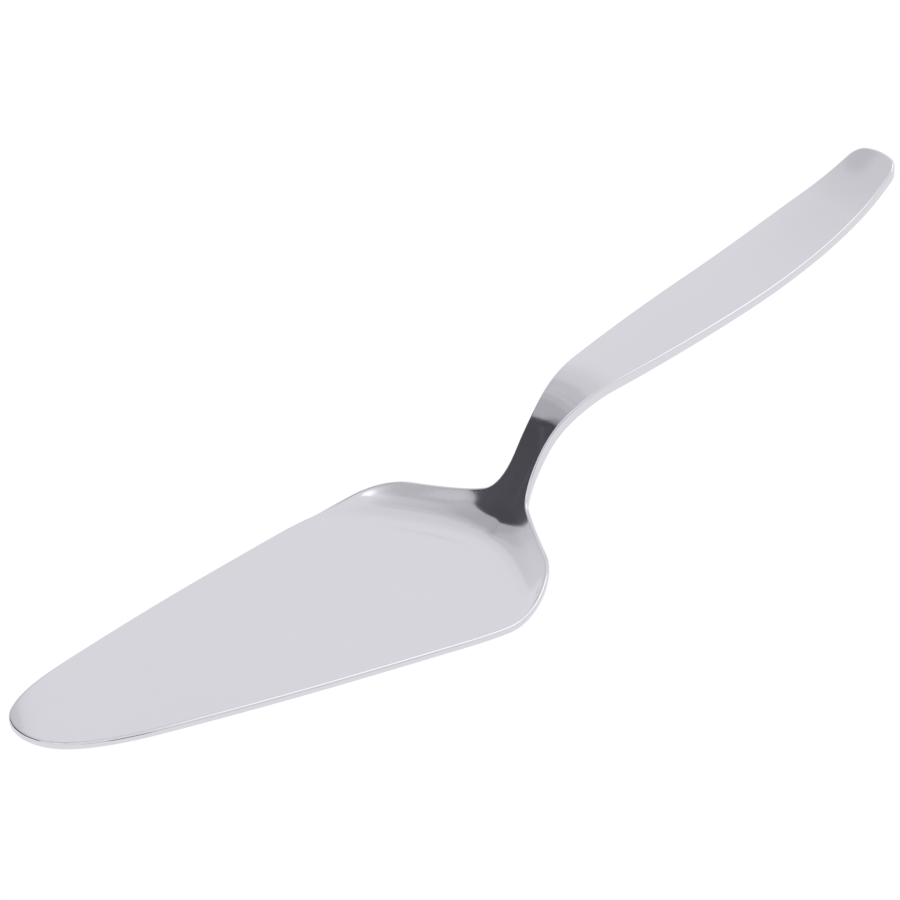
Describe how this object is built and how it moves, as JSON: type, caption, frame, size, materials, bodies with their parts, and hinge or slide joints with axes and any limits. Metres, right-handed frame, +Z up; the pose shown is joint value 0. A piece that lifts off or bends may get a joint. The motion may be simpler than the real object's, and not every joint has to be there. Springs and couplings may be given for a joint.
{
  "type": "cake lifter",
  "caption": "One-piece polished steel cake lifter: a flat tapered blade with a dished heel, a cranked neck and a raised, gently curled handle.",
  "frame": {"origin": "under the middle of the overall length, in the mirror plane, on the plane of the blade's flat underside", "axes": "+X from the blade's tip to the handle's end, +Y across the blade, +Z up from the surface that the blade rests on"},
  "size_m": [0.2475, 0.0676, 0.0587],
  "materials": {
    "steel": "polished stainless steel, nearly a mirror, with a faint hairline grain"
  },
  "bodies": {
    "root": {"cake_lifter": "steel"}
  },
  "joints": []
}
